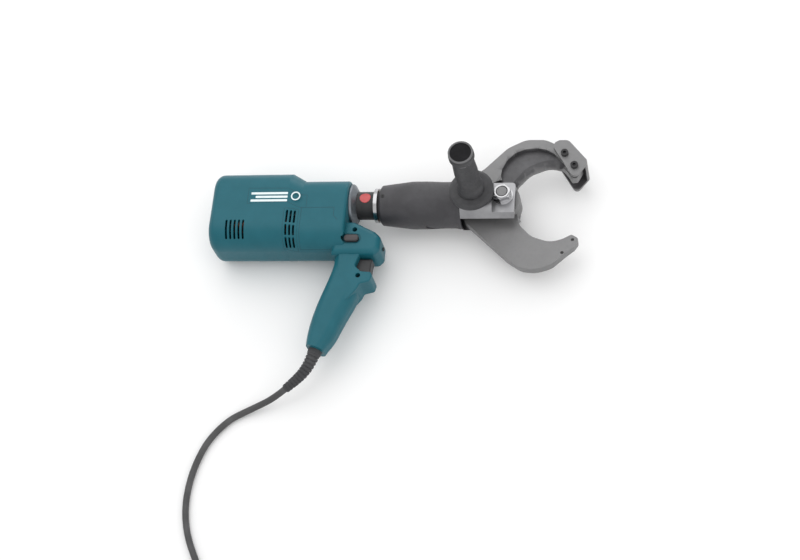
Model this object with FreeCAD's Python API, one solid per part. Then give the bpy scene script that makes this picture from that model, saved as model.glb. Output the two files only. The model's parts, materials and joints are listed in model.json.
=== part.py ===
import FreeCAD, Part
import math
import os

# Corded electro-hydraulic cutter with scissor jaws, lying on its side.
# Millimetres. Model frame: the neck axis is the X axis, +X runs from the motor to the jaws,
# -Y is the pistol grip, +Z is the side handle. place() moves the finished solids so that the
# origin is below the middle of the tool, on the surface that it lies on.

V = FreeCAD.Vector
X_AXIS = V(1, 0, 0)
Y_AXIS = V(0, 1, 0)
Z_AXIS = V(0, 0, 1)

# ---------------------------------------------------------------- driving dimensions
FLOOR_Z = -38.0
MIDDLE = V(43.72, -60.14, FLOOR_Z)      # middle of the tool's box, on the floor
RUN = 0.05                            # radial clearance of a running fit
GAP = 0.3                             # clearance between faces on different bodies

BARREL_BACK = -189.5
BARREL_FRONT = -15.5
BARREL_TOP = 36.7
BARREL_FRONT_TOP = 27.3               # top of the slimmer front part
BARREL_FRONT_BOTTOM = -69.5
BARREL_FRONT_HALF = 34.0
BARREL_FRONT_CORNER = 26.0
BARREL_STEP = (-90.0, -73.0)          # ends of the slope between the two sections
BARREL_BOTTOM = -68.5
BARREL_HALF = 38.0
BARREL_CORNER = 28.0
GRIP_HALF = 17.5
NOSE_HALF = 22.0
WALL = 3.0

MOTOR_Y = -23.0                       # armature axis, one gear centre distance below the neck axis
PINION_TEETH = 12
GEAR_TEETH = 34
GEAR_MODULE = 1.0

NECK_RADIUS = 17.5
SNAP_GROOVE = (14.6, 19.1)
SLEEVE_BACK = 21.0
SLEEVE_FRONT = 124.5
SLEEVE_BORE = 27.4

PIVOT_X = 176.5
JAW_TURN = math.radians(40)
HUB_RADIUS = 20.0
PIVOT_RADIUS = 9.0
ROLLER_RADIUS = 7.0
ROLLER_OPEN = 58.0                    # roller axis to pivot, jaws open
ROLLER_SHUT = 28.0                    # and jaws shut
RAM_STROKE = ROLLER_OPEN - ROLLER_SHUT
HEEL_RADIUS = 54.0
LOWER_JAW_Z = (-12.0, 0.0)
UPPER_HUB_Z = (0.3, 13.0)
UPPER_RIM_Z = 20.0
FRONT_CHEEK_Z = (15.3, 22.0)
REAR_CHEEK_Z = (-28.0, -12.3)
RAM_RADIUS = 12.0
YOKE_RADIUS = 31.0
BOSS_TOP = 36.0

HANDLE_X = 140.0
OIL_SCREW_X = 27.3
OIL_SCREW_RADIUS = 2.4
HANDLE_END = 130.0

CORD_RADIUS = 4.0
CORD_REST_Z = FLOOR_Z + CORD_RADIUS + 0.2


# ---------------------------------------------------------------- helpers
def rounded_wire(corners):
    """Closed outline in the XY plane from (x, y, corner radius) points."""
    count = len(corners)
    starts = []
    ends = []
    middles = []
    for index in range(count):
        x, y, radius = corners[index]
        here = V(x, y, 0)
        back = V(*corners[index - 1][:2], 0) - here
        ahead = V(*corners[(index + 1) % count][:2], 0) - here
        back.normalize()
        ahead.normalize()
        half = back.getAngle(ahead) / 2
        if radius <= 0 or abs(half - math.pi / 2) < 1e-4:
            starts.append(here)
            ends.append(here)
            middles.append(None)
            continue
        reach = radius / math.tan(half)
        starts.append(here + back * reach)
        ends.append(here + ahead * reach)
        bisector = back + ahead
        bisector.normalize()
        middles.append(here + bisector * (radius / math.sin(half) - radius))
    edges = []
    for index in range(count):
        if middles[index] is not None:
            edges.append(Part.Arc(starts[index], middles[index], ends[index]).toShape())
        follow = (index + 1) % count
        if ends[index].distanceToPoint(starts[follow]) > 1e-5:
            edges.append(Part.LineSegment(ends[index], starts[follow]).toShape())
    return Part.Wire(Part.__sortEdges__(edges))


def slab(corners, low, high, inset=0.0):
    """Rounded outline extruded along Z, optionally moved inwards."""
    face = Part.Face(rounded_wire(corners))
    if inset:
        face = face.makeOffset2D(-inset, 0, False, False, True)
    face.translate(V(0, 0, low))
    return face.extrude(V(0, 0, high - low))


def soften(solid, heights, radius):
    """Fillet the edges that lie in the planes z = heights."""
    edges = []
    for edge in solid.Edges:
        box = edge.BoundBox
        for height in heights:
            if abs(box.ZMin - height) < 1e-4 and abs(box.ZMax - height) < 1e-4:
                edges.append(edge)
    return solid.makeFillet(radius, edges)


def rod_x(x0, x1, radius, y=0.0, z=0.0):
    return Part.makeCylinder(radius, x1 - x0, V(x0, y, z), X_AXIS)


def rod_y(y0, y1, radius, x=0.0, z=0.0):
    return Part.makeCylinder(radius, y1 - y0, V(x, y0, z), Y_AXIS)


def rod_z(z0, z1, radius, x=0.0, y=0.0):
    return Part.makeCylinder(radius, z1 - z0, V(x, y, z0), Z_AXIS)


def ring_x(x0, x1, outer, inner, y=0.0, z=0.0):
    return rod_x(x0, x1, outer, y, z).cut(rod_x(x0 - 1, x1 + 1, inner, y, z))


def ring_z(z0, z1, outer, inner, x=0.0, y=0.0):
    return rod_z(z0, z1, outer, x, y).cut(rod_z(z0 - 1, z1 + 1, inner, x, y))


def block(x0, x1, y0, y1, z0, z1):
    return Part.makeBox(x1 - x0, y1 - y0, z1 - z0, V(x0, y0, z0))


def turned_x(profile, y=0.0, z=0.0):
    """Solid of revolution about a line along X through (y, z); profile is (x, radius, corner)."""
    face = Part.Face(rounded_wire(profile))
    solid = face.revolve(V(0, 0, 0), X_AXIS, 360)
    solid.translate(V(0, y, z))
    return solid


def turned_z(profile, x=0.0, y=0.0):
    """Solid of revolution about a line along Z through (x, y); profile is (radius, z, corner)."""
    face = Part.Face(rounded_wire(profile))
    face.rotate(V(0, 0, 0), X_AXIS, 90)
    solid = face.revolve(V(0, 0, 0), Z_AXIS, 360)
    solid.translate(V(x, y, 0))
    return solid


def hexagon_z(z0, z1, across_flats, x=0.0, y=0.0, turn=0.0):
    radius = across_flats / math.sqrt(3)
    corners = []
    for index in range(6):
        angle = math.radians(turn + 60 * index)
        corners.append((x + radius * math.cos(angle), y + radius * math.sin(angle), 0))
    prism = slab(corners, z0, z1)
    chamfer = across_flats / 2 + 0.6
    height = z1 - z0
    cone = Part.makeCone(chamfer + 1.4, chamfer, 0.8, V(x, y, z1 - 0.8), Z_AXIS)
    return prism.common(rod_z(z0, z0 + height - 0.8, radius + 1, x, y).fuse(cone))


def joined(solids):
    return solids[0].fuse(solids[1:]).removeSplitter() if len(solids) > 1 else solids[0]


def group(solids):
    return Part.makeCompound(solids)


def place(shape):
    moved = shape.copy()
    moved.translate(V(0, 0, 0) - MIDDLE)
    return moved


# ---------------------------------------------------------------- clamshell housing
BARREL_ROUND = 11.0                   # rounding of the barrel's back end
BARREL_FRONT_ROUND = 3.5
NOSE = [
    (-32, -76.1, 0), (22.8, -76.3, 6), (28.5, -69.8, 6), (28.4, -53, 7), (21.1, -45.5, 8),
    (-6.3, -31.8, 8), (-32, -31.4, 0),
]
# throat of the grip: switch housing and the finger rest below the trigger
THROAT = [
    (-22.9, -60.6, 0), (-21.6, -137, 0), (-7, -137, 0), (5, -121.5, 9), (7.4, -114.7, 4),
    (20.1, -111.3, 4), (21.8, -104.1, 3), (20, -99.2, 2), (7.2, -98.2, 4), (-1, -90.4, 5),
    (4.7, -73.6, 3), (4.6, -60.8, 0),
]
# grip sections down the handle: y, rear x, front x, half thickness, corner radius
GRIP_SECTIONS = [
    (-62.6, -30, -1.1, 17.5, 12), (-88.3, -29.6, 0.2, 17.5, 12), (-107.9, -34.6, 3.4, 17.5, 12),
    (-127.4, -41.3, 3.1, 18, 14), (-148.6, -47.3, -5.4, 18, 14), (-169.7, -51.5, -14.3, 17, 13),
    (-186.8, -53.1, -22, 16, 12), (-207.6, -53.1, -32.1, 15, 10),
]
GRIP_FOOT = [
    (-85.2, -189.1, 0), (-52.8, -193.1, 0), (-26.5, -200.8, 0), (2.5, -208.9, 0), (3, -251.4, 0),
    (-83.2, -252.7, 0),
]
# screw places: x, y, and the side that the head is on
SCREWS = [
    (-179.4, 26.5, -1), (-175.3, -56.9, -1), (-98.7, 27.5, -1), (-64.7, -59.5, -1),
    (-4, -44.1, 1), (4.6, -104.2, 1), (-43, -184.9, -1), (-21.6, -131.3, -1),
]
TRIGGER_HALF = 8.0
BUTTON_DISH = 1.2                     # depth of the dished surround of the button
NOSE_SCREW = (28.45, -60.7)
BUTTON = (-7.1, -56.7)


def barrel_wire(x, half, low, top, corner):
    """Rounded cross-section of the motor barrel at x."""
    wire = rounded_wire([(-half, low, corner), (half, low, corner), (half, top, corner),
                         (-half, top, corner)])
    wire.rotate(V(0, 0, 0), Y_AXIS, 90)
    wire.translate(V(x, 0, 0))
    return wire


def barrel(inset):
    """Motor barrel: a wide rear part, a slope and a slimmer front part."""
    rear = (BARREL_HALF - inset, BARREL_BOTTOM + inset, BARREL_TOP - inset, BARREL_CORNER - inset)
    front = (BARREL_FRONT_HALF - inset, BARREL_FRONT_BOTTOM + inset, BARREL_FRONT_TOP - inset,
             BARREL_FRONT_CORNER - inset)
    step_back, step_front = BARREL_STEP
    back = BARREL_BACK + inset
    nose_end = BARREL_FRONT - inset
    tail = Part.Face(barrel_wire(back, *rear)).extrude(V(step_back - back, 0, 0))
    rim = [edge for edge in tail.Edges if edge.BoundBox.XMax < back + 0.01]
    tail = tail.makeFillet(BARREL_ROUND - inset, rim)
    slope = Part.makeLoft([barrel_wire(step_back, *rear), barrel_wire(step_front, *front)], True, True)
    head = Part.Face(barrel_wire(step_front, *front)).extrude(V(nose_end - step_front, 0, 0))
    if not inset:
        rim = [edge for edge in head.Edges if edge.BoundBox.XMin > nose_end - 0.01]
        head = head.makeFillet(BARREL_FRONT_ROUND, rim)
    return joined([tail, slope, head])


def nose(inset):
    half = NOSE_HALF - inset
    return soften(slab(NOSE, -half, half, inset), (-half, half), 7.5 - inset)


def grip_wire(section, inset):
    """One rounded section of the grip, in the plane y = section[0]."""
    y, rear, front, half, corner = section
    half -= inset
    rear += inset
    front -= inset
    corner -= inset
    wire = rounded_wire([(rear, -half, corner), (front, -half, corner), (front, half, corner),
                         (rear, half, corner)])
    wire.rotate(V(0, 0, 0), X_AXIS, 90)
    wire.translate(V(0, y, 0))
    return wire


def grip(inset):
    handle = Part.makeLoft([grip_wire(section, inset) for section in GRIP_SECTIONS], True)
    handle = handle.cut(slab(GRIP_FOOT, -40, 40, -inset))
    half = GRIP_HALF - inset
    throat = slab(THROAT, -half, half, inset)
    if not inset:
        edges = [e for e in throat.Edges if edge_flat(e, half)]
        throat = throat.makeFillet(1.9, edges)
    return joined([handle, throat])


def edge_flat(edge, height):
    box = edge.BoundBox
    return abs(abs(box.ZMin) - height) < 1e-4 and abs(abs(box.ZMax) - height) < 1e-4


def housing_shells():
    outer = joined([barrel(0), nose(0), grip(0)])
    inner = joined([barrel(WALL), nose(WALL), grip(WALL)])
    shell = outer.cut(inner)
    posts = []
    for x, y, side in SCREWS:
        posts.append(rod_z(-BARREL_HALF, BARREL_HALF, 4.2, x, y).common(outer))
    shell = joined([shell] + posts)
    cuts = [rod_x(BARREL_FRONT - 8, BARREL_FRONT + 40, 25.3)]
    for x, y, side in SCREWS:
        reach = BARREL_HALF + 1
        near, far = sorted((6 * side, reach * side))
        cuts.append(rod_z(near, far, 3.1, x, y))
        low, high = sorted((-10 * side, 6 * side))
        cuts.append(rod_z(low, high, 1.45, x, y))
    cuts.append(rod_x(10, 40, 1.45, NOSE_SCREW[1]))
    # trigger window in the front wall
    cuts.append(block(-12, 30, -97.4, -76.2, -TRIGGER_HALF - GAP, TRIGGER_HALF + GAP))
    # button slot through both sides of the nose
    cuts.append(button_slug(NOSE_HALF + 7, RUN))
    for low, high in ((NOSE_HALF - BUTTON_DISH, NOSE_HALF + 8), (-NOSE_HALF - 8, BUTTON_DISH - NOSE_HALF)):
        dish = slab([(BUTTON[0] - 12, BUTTON[1] - 6.7, 6.5), (BUTTON[0] + 12, BUTTON[1] - 6.7, 6.5),
                     (BUTTON[0] + 12, BUTTON[1] + 6.7, 6.5), (BUTTON[0] - 12, BUTTON[1] + 6.7, 6.5)],
                    low, high)
        cuts.append(dish)
    # strain relief seat at the foot of the grip
    cuts.append(relief_neck(0.02))
    # rear inlet slots and middle outlet slots, both sides
    for side in (-1, 1):
        near, far = sorted((8 * side, (BARREL_HALF + 1) * side))
        for index in range(5):
            slot = slab([(-1.35, -11.5, 1.3), (1.35, -11.5, 1.3), (1.35, 11.5, 1.3),
                         (-1.35, 11.5, 1.3)], near, far)
            slot.translate(V(-164.3 + 5.37 * index, -49.0, 0))
            cuts.append(slot)
        for middle, reach in ((-32.8, 8.6), (-50.2, 6.4), (-62.8, 4.6)):
            for column in range(3):
                slot = slab([(-1.3, -reach, 1.2), (1.3, -reach, 1.2), (1.3, reach, 1.2),
                             (-1.3, reach, 1.2)], near, far)
                slot.translate(V(-88.3 + 4.7 * column, middle, 0))
                cuts.append(slot)
    shell = shell.cut(group(cuts))
    reach = 300
    upper = shell.common(block(-reach, reach, -reach, reach, 0, reach))
    lower = shell.common(block(-reach, reach, -reach, reach, -reach, 0))
    return upper, lower


def housing_screws():
    solids = []
    for x, y, side in SCREWS:
        head_low, head_high = sorted((6 * side, 9 * side))
        shank_low, shank_high = sorted((-9.5 * side, 6.2 * side))
        head = rod_z(head_low, head_high, 2.9, x, y)
        socket_low, socket_high = sorted((7.4 * side, 10 * side))
        socket = block(x - 2, x + 2, y - 0.4, y + 0.4, socket_low, socket_high)
        socket = socket.fuse(block(x - 0.4, x + 0.4, y - 2, y + 2, socket_low, socket_high))
        solids.append(head.cut(socket).fuse(rod_z(shank_low, shank_high, 1.45, x, y)))
    # the last one closes the front of the nose on the parting line
    x, y = NOSE_SCREW
    head = rod_x(x, x + 1.4, 2.5, y).cut(block(x + 0.7, x + 3, y - 4, y + 4, -0.4, 0.4))
    solids.append(head.fuse(rod_x(x - 6, x + 0.1, 1.4, y)))
    return group(solids)


# ---------------------------------------------------------------- motor and gears
def stator_core():
    core = ring_x(-142, -98, 33.5, 23.2, MOTOR_Y)
    bore = []
    for side in (-1, 1):
        low, high = sorted((22 * side, 31 * side))
        bore.append(block(-143, -97, MOTOR_Y - 9, MOTOR_Y + 9, low, high))
    return core.cut(group(bore))


def field_coils():
    solids = []
    for side in (-1, 1):
        low, high = sorted((24.0 * side, 30.5 * side))
        outer = block(-149, -91, MOTOR_Y - 8.7, MOTOR_Y + 8.7, low, high)
        solids.append(outer.makeFillet(2.0, [e for e in outer.Edges if e.BoundBox.ZLength > 5]))
    return group(solids)


def armature_core():
    core = ring_x(-142, -98, 22.4, 5.0, MOTOR_Y)
    slots = []
    for index in range(12):
        slot = block(-143, -97, -0.9, 0.9, 15.0, 24.0)
        slot.rotate(V(0, 0, 0), X_AXIS, 30 * index)
        slot.translate(V(0, MOTOR_Y, 0))
        slots.append(slot)
    return core.cut(group(slots))


def armature_winding():
    solids = []
    for x0, x1 in ((-148, -142.1), (-97.9, -92)):
        solids.append(turned_x([(x0, 6.0, 0), (x1, 6.0, 0), (x1, 19.0, 2.4), (x0, 19.0, 2.4)],
                               MOTOR_Y).cut(rod_x(-200, 0, 5.0, MOTOR_Y)))
    return group(solids)


def commutator():
    drum = ring_x(-166, -150, 12.5, 5.0, MOTOR_Y)
    slots = []
    for index in range(12):
        slot = block(-167, -149, -0.25, 0.25, 11.6, 13.0)
        slot.rotate(V(0, 0, 0), X_AXIS, 30 * index)
        slot.translate(V(0, MOTOR_Y, 0))
        slots.append(slot)
    return drum.cut(group(slots))


def carbon_brushes():
    solids = []
    for side in (-1, 1):
        low, high = sorted((12.9 * side, 22 * side))
        solids.append(block(-161.5, -154.5, MOTOR_Y - 4, MOTOR_Y + 4, low, high))
    return group(solids)


def brush_holders():
    solids = []
    for side in (-1, 1):
        low, high = sorted((14.5 * side, 32 * side))
        box = block(-163.5, -152.5, MOTOR_Y - 6, MOTOR_Y + 6, low, high)
        cut_low, cut_high = sorted((14 * side, 30.5 * side))
        solids.append(box.cut(block(-161.6, -154.4, MOTOR_Y - 4.1, MOTOR_Y + 4.1,
                                    cut_low, cut_high)))
    return group(solids)


def brush_springs():
    solids = []
    for side in (-1, 1):
        spring = coil_spring(2.6, 0.4, 8.0, 6)
        spring.translate(V(-158, MOTOR_Y, 22.45 if side > 0 else -30.45))
        solids.append(spring)
    return group(solids)


def coil_spring(radius, wire, length, turns):
    """Compression spring along Z from z = 0, drawn as a swept helix."""
    helix = Part.makeHelix((length - 2 * wire) / turns, length - 2 * wire, radius)
    section = Part.Wire(Part.makeCircle(wire, V(radius, 0, 0), Y_AXIS))
    spring = Part.Wire(helix.Edges).makePipeShell([section], True, True)
    spring.translate(V(0, 0, wire))
    return spring


def bearing_x(x0, x1, outer, inner, y):
    """Ball bearing drawn as two races and a ring of balls in one group."""
    middle = (outer + inner) / 2
    race = (outer - inner) * 0.27
    mid_x = (x0 + x1) / 2
    ball = (outer - inner) * 0.22
    races = [ring_x(x0, x1, outer, outer - race, y), ring_x(x0, x1, inner + race, inner, y)]
    balls = []
    for index in range(8):
        angle = math.radians(45 * index)
        balls.append(Part.makeSphere(ball, V(mid_x, y + middle * math.cos(angle),
                                             middle * math.sin(angle))))
    return group(races + balls)


def fan():
    hub = ring_x(-88, -78, 9.0, 5.0, MOTOR_Y)
    plate = ring_x(-79.5, -78, 30.5, 8.0, MOTOR_Y)
    blades = [hub, plate]
    for index in range(14):
        blade = block(-88, -79, -0.8, 0.8, 13.0, 30.0)
        blade.rotate(V(0, 0, 20), X_AXIS, 24)
        blade.rotate(V(0, 0, 0), X_AXIS, 360 / 14 * index)
        blade.translate(V(0, MOTOR_Y, 0))
        blades.append(blade)
    return joined(blades)


def gear_outline(teeth, addendum, dedendum, thin):
    """Spur gear outline with involute flanks, pressure angle 25 degrees."""
    pressure = math.radians(25)
    pitch = GEAR_MODULE * teeth / 2
    base = pitch * math.cos(pressure)
    tip = pitch + addendum
    root = pitch - dedendum
    half = (math.pi * GEAR_MODULE / 2 - thin) / 2 / pitch + math.tan(pressure) - pressure
    start = max(base, root)
    flank = []
    for step in range(5):
        radius = start + (tip - start) * step / 4
        roll = math.sqrt(max(radius * radius / base / base - 1, 0))
        flank.append((radius, half - (roll - math.atan(roll))))
    points = []
    for tooth in range(teeth):
        centre = 2 * math.pi * tooth / teeth
        low = [(root, flank[0][1])] if root < start else []
        side = low + flank
        for radius, angle in side:
            points.append((radius, centre - angle))
        for radius, angle in reversed(side):
            points.append((radius, centre + angle))
    return points


def gear_x(teeth, x0, x1, y, turn, thin):
    corners = []
    for radius, angle in gear_outline(teeth, 0.9, 1.15, thin):
        corners.append(V(0, radius * math.cos(angle + turn), radius * math.sin(angle + turn)))
    wire = Part.makePolygon(corners + [corners[0]])
    solid = Part.Face(wire).extrude(V(x1 - x0, 0, 0))
    solid.translate(V(x0, y, 0))
    return solid


def armature_shaft():
    """Shaft with the pinion cut on its front end."""
    shaft = rod_x(-178, -61, 5.0, MOTOR_Y)
    shaft = shaft.cut(ring_x(-179, -169, 8.0, 4.0, MOTOR_Y))
    pinion = gear_x(PINION_TEETH, -61, -48, MOTOR_Y, 0.0, 0.06)
    return joined([shaft, pinion, rod_x(-48, -44, 3.0, MOTOR_Y)])


def drive_gear():
    turn = math.pi + math.pi / GEAR_TEETH
    wheel = gear_x(GEAR_TEETH, -60, -50, 0.0, turn, 0.06)
    return wheel.cut(rod_x(-70, -40, 6.0))


def drive_shaft():
    """Shaft from the gear through the neck, with the eccentric journal at its front end."""
    body = rod_x(-61, 44, 6.0)
    journal = rod_x(44, 54, 8.0, 0.0, 1.5)
    return joined([rod_x(-69, -60, 4.0), body, journal, rod_x(54, 61, 4.0)])


def gear_case():
    """Metal case around the gears with the domed collar that carries the neck."""
    cup = rod_x(-62, -19, 24.2)
    lobe = rod_x(-62, -44, 14.5, MOTOR_Y)
    collar = turned_x([(-19.2, 0, 0), (-19.2, 24.8, 0), (-15.3, 24.8, 0), (-15.3, 27.2, 0.4),
                       (-12.5, 27.2, 3.0), (-7.5, 18.5, 2.0), (-7.5, 0, 0)])
    cavity = rod_x(-63, -46, 21.0)
    small = rod_x(-63, -46, 10.5, MOTOR_Y)
    case = joined([cup, lobe, collar])
    bores = [cavity, small, rod_x(-33, 0, NECK_RADIUS), rod_x(-47, -32, 10.0),
             rod_x(-47, -43.4, 3.05, MOTOR_Y)]
    for bore in bores:
        case = case.cut(bore)
    return case.cut(rod_x(-42, -32, 14.0))


def bearing_plate():
    """Plate behind the gears with the seats of the two rear bearings."""
    plate = joined([rod_x(-70, -62.05, 24.2), rod_x(-70, -62.05, 17.0, MOTOR_Y)])
    seats = [rod_x(-71, -61, 13.0, MOTOR_Y), rod_x(-69.5, -61, 8.0)]
    return plate.cut(group(seats))


def neck_tube():
    tube = ring_x(-32.9, 40, NECK_RADIUS, 11.0)
    groove = ring_x(*SNAP_GROOVE, NECK_RADIUS + 2, 16.2)
    return tube.cut(groove)


def snap_ring():
    back, front = SNAP_GROOVE
    return ring_x(back + 0.05, front - 0.05, 21.5, 16.2)


def neck_badge():
    """Plain round badge that follows the neck."""
    disc = Part.makeCylinder(6.9, 12, V(0, 0, 12), Z_AXIS)
    disc.rotate(V(0, 0, 0), X_AXIS, -8)
    disc.translate(V(3.6, 0, 0))
    return disc.common(ring_x(-10, 15, NECK_RADIUS + 0.6, NECK_RADIUS))


# ---------------------------------------------------------------- switch gear
TRIGGER = [
    (-4.9, -77.7, 1), (9.4, -77.7, 1), (19.2, -77.4, 2), (17.4, -84.5, 14), (17.1, -96.8, 3),
    (8.1, -97.1, 2), (-4.7, -97.1, 1),
]


def trigger():
    body = slab(TRIGGER, -TRIGGER_HALF, TRIGGER_HALF)
    edges = []
    for edge in body.Edges:
        box = edge.BoundBox
        if edge_flat(edge, TRIGGER_HALF) and box.XMin > 12:
            edges.append(edge)
    body = body.makeFillet(2.0, edges)
    return body.fuse(rod_x(-17, -4.4, 2.2, -87, 0))


def switch_body():
    box = block(-25.0, -12.3, -104, -79, -9.5, 9.5)
    return box.cut(rod_x(-24.2, -12, 2.6, -87, 0)).cut(rod_x(-22.4, -12, 5.2, -87, 0))


def trigger_spring():
    spring = coil_spring(4.1, 0.5, 9.6, 6)
    spring.rotate(V(0, 0, 0), Y_AXIS, 90)
    spring.translate(V(-22.2, -87, 0))
    return spring


def button_slug(half, grow):
    x, y = BUTTON
    corners = [(x - 9.5 - grow, y - 4.6 - grow, 4.5), (x + 9.5 + grow, y - 4.6 - grow, 4.5),
               (x + 9.5 + grow, y + 4.6 + grow, 4.5), (x - 9.5 - grow, y + 4.6 + grow, 4.5)]
    return slab(corners, -half, half)


def changeover_button():
    """Reversing slide that passes through both sides of the nose."""
    half = NOSE_HALF + 3.2
    body = button_slug(half, 0)
    edges = [e for e in body.Edges if edge_flat(e, half)]
    return body.makeFillet(1.2, edges)


# ---------------------------------------------------------------- cord
RELIEF_TOP = V(-41.0, -192.6, 0)
RELIEF_END = V(-78.4, -239.5, -17.0)
CORD_ROUTE = [
    RELIEF_END, V(-93.9, -249.6, -23.8), V(-114, -257.5, -30.0), V(-133, -265.5, CORD_REST_Z),
    V(-148, -274, CORD_REST_Z), V(-163.5, -290, CORD_REST_Z), V(-176, -309, CORD_REST_Z),
    V(-187, -343, CORD_REST_Z), V(-190, -383, CORD_REST_Z), V(-182, -420, CORD_REST_Z),
    V(-165, -453, CORD_REST_Z), V(-149, -484, CORD_REST_Z), V(-141.5, -516, CORD_REST_Z),
]
COIL_CENTRE = (-86.0, -546.0)
COIL_MEAN = 44.0
COIL_HALF_BAND = 12.5                 # three cords side by side
COIL_HEIGHT = 25.0                    # and three layers
COIL_LOW = FLOOR_Z + 1.4              # room for the tie under the coil
LEAD_ROUTE = [
    V(-54, -598, CORD_REST_Z), V(-18, -598, CORD_REST_Z + 0.8), V(8, -572, CORD_REST_Z + 3.6),
    V(8, -536.3, FLOOR_Z + 11.2),
]
TIE_WALL = 1.0
PLUG_PLACE = (8.0, -518.9)


def relief_axis():
    return [RELIEF_TOP, V(-44.6, -203.5, -0.8), V(-51.5, -218, -4.5), V(-62.5, -229.2, -10.0),
            RELIEF_END]


def bent_path(points, share=0.45):
    """Wire of straight runs joined by tangent arcs, each as large as its runs allow."""
    edges = []
    start = points[0]
    for index in range(1, len(points) - 1):
        here = points[index]
        back = points[index - 1] - here
        ahead = points[index + 1] - here
        shorter = min(back.Length, ahead.Length)
        reach = share * shorter
        back.normalize()
        ahead.normalize()
        half = back.getAngle(ahead) / 2
        radius = reach * math.tan(half)
        entry = here + back * reach
        leave = here + ahead * reach
        bisector = back + ahead
        bisector.normalize()
        middle = here + bisector * (radius / math.sin(half) - radius)
        edges.append(Part.LineSegment(start, entry).toShape())
        edges.append(Part.Arc(entry, middle, leave).toShape())
        start = leave
    edges.append(Part.LineSegment(start, points[-1]).toShape())
    return Part.Wire(edges)


def swept_round(points, radius):
    """Round bar along the bent path through the points."""
    along = points[1] - points[0]
    section = Part.Wire(Part.makeCircle(radius, points[0], along))
    return bent_path(points).makePipeShell([section], True, False)


def cord_coil():
    outer = COIL_MEAN + COIL_HALF_BAND
    inner = COIL_MEAN - COIL_HALF_BAND
    low = COIL_LOW
    x, y = COIL_CENTRE
    return turned_z([(inner, low, 4), (outer, low, 4), (outer, low + COIL_HEIGHT, 6),
                     (inner, low + COIL_HEIGHT, 6)], x, y)


def cord_tie():
    """Band that holds the coil together on its far side."""
    x, y = COIL_CENTRE
    near = y - COIL_MEAN + COIL_HALF_BAND + 0.35
    far = y - COIL_MEAN - COIL_HALF_BAND - 0.35
    low = COIL_LOW - 0.1
    high = COIL_LOW + COIL_HEIGHT + 0.1
    outer = block(x - 4, x + 4, far - TIE_WALL, near + TIE_WALL, low - TIE_WALL,
                  high + TIE_WALL)
    return outer.cut(block(x - 5, x + 5, far, near, low, high))


def relief_neck(grow):
    """Collar of the strain relief that the two shells clamp."""
    along = V(-3, -11, -1)
    collar = Part.makeCylinder(6.2 + grow, 9, RELIEF_TOP + V(0, 3, 0), along)
    return collar


def strain_relief():
    """Tapered, bent sleeve with a flange and grooves."""
    points = relief_axis()
    path = bent_path(points)
    along = points[1] - points[0]
    last = points[-1] - points[-2]
    start = Part.Wire(Part.makeCircle(8.6, points[0], along))
    end = Part.Wire(Part.makeCircle(5.4, points[-1], last))
    body = path.makePipeShell([start, end], True, False)
    below_grip = Part.makeBox(200, 200, 200, V(-150, -398.7, -100))
    body = body.common(below_grip)
    return joined([body, relief_neck(-0.1)])


# ---------------------------------------------------------------- head
def head_sleeve():
    """Rubbery cast cover of the hydraulic head."""
    profile = [
        (SLEEVE_BACK, NECK_RADIUS + 3.2, 0), (24, 25.0, 2.0), (40, 27.0, 40),
        (62, 29.7, 60), (80, 29.6, 60), (102, 28.7, 60), (116, 28.8, 20),
        (120.5, 29.9, 2), (SLEEVE_FRONT, 29.9, 1.2), (SLEEVE_FRONT, SLEEVE_BORE, 0),
        (56, SLEEVE_BORE, 0), (46, 24.5, 0), (28, 22.2, 0), (SLEEVE_BACK, NECK_RADIUS + 2.2, 0),
    ]
    sleeve = turned_x(profile)
    stud = rod_z(20, 60, 17.0, HANDLE_X, 0)
    panel = slab([(80, -15, 14.9), (140, -15, 0), (140, 15, 0), (80, 15, 14.9)], 20, 40)
    panel.rotate(V(0, 0, 0), X_AXIS, 90)
    both = panel.fuse(panel.mirror(V(0, 0, 0), Y_AXIS)).cut(rod_x(60, 150, 28.3))
    filler = rod_z(15, 40, OIL_SCREW_RADIUS + RUN, OIL_SCREW_X, 0)
    return sleeve.cut(stud).cut(filler).cut(both.common(rod_x(60, 120.0, 40)))


def oil_screw():
    """Slotted plug of the oil filler, in the back of the sleeve."""
    plug = rod_z(22.6, 25.9, OIL_SCREW_RADIUS, OIL_SCREW_X, 0)
    slot = block(OIL_SCREW_X - 0.5, OIL_SCREW_X + 0.5, -4, 4, 25.1, 28)
    return plug.cut(slot)


def swivel_bush():
    """Bush that turns on the neck tube and carries the head."""
    return ring_x(SLEEVE_BACK, 40.5, NECK_RADIUS + 2.15, NECK_RADIUS + RUN)


def pump_block():
    body = turned_x([(40.6, 8.6, 0), (40.6, 23.4, 0), (46, 24.0, 0), (56, 27.0, 0),
                     (66, 27.3, 0), (66, 0, 0), (62, 0, 0), (62, 8.6, 0)])
    chamber = rod_x(43, 55, 10.2)
    seat = rod_x(54, 62, 8.0)
    bore = rod_z(-28, -9, 3.05, 49, 0)
    return body.cut(group([chamber, seat])).cut(bore)


def pump_plunger():
    return rod_z(-22, -9.9, 3.0, 49, 0)


def plunger_plug():
    return rod_z(-24.6, -22.1, 3.0, 49, 0)


def head_bearing():
    return bearing_x(55.2, 60.2, 8.0, 4.0, 0.0)


def cylinder_body():
    tube = ring_x(66.05, 112, SLEEVE_BORE - 0.1, 20.05)
    return tube


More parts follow.
